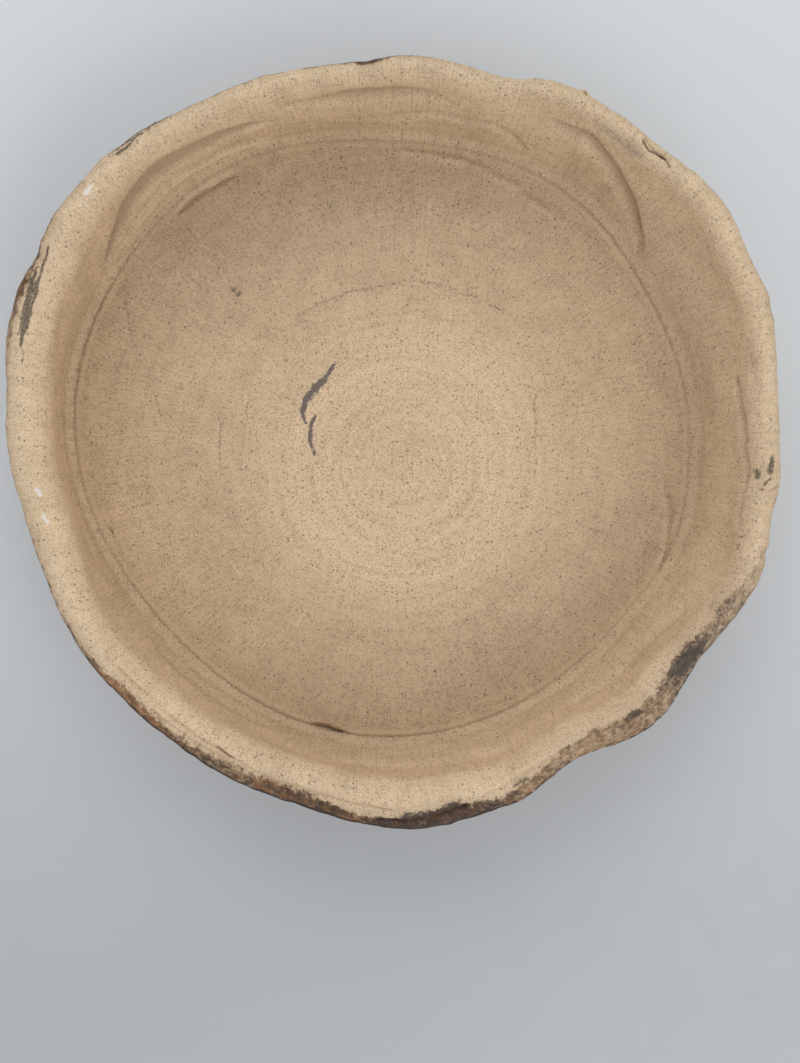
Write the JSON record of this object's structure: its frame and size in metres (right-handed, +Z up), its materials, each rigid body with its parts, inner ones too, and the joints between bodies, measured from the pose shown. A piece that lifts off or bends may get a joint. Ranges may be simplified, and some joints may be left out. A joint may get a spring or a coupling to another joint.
{
  "type": "bowl",
  "caption": "Shallow round coil-built clay bowl with a flat floor, a steep wall and a thick rolled rim pinched into uneven waves.",
  "frame": {"origin": "on the flat underside, below the middle of the rim's outer edge", "axes": "+Z up out of the bowl; +X and +Y lie on the table, with the short closing length of the rim towards +X"},
  "size_m": [0.2107, 0.21, 0.0428],
  "materials": {
    "clay": "matte",
    "rim_clay": "matte"
  },
  "bodies": {
    "root": {"floor_slab": "clay", "seam_coil": "clay", "lower_wall_coil": "clay", "middle_wall_coil": "clay", "upper_wall_coil": "clay", "rim_coil": "rim_clay", "rim_patch": "rim_clay"}
  },
  "joints": []
}
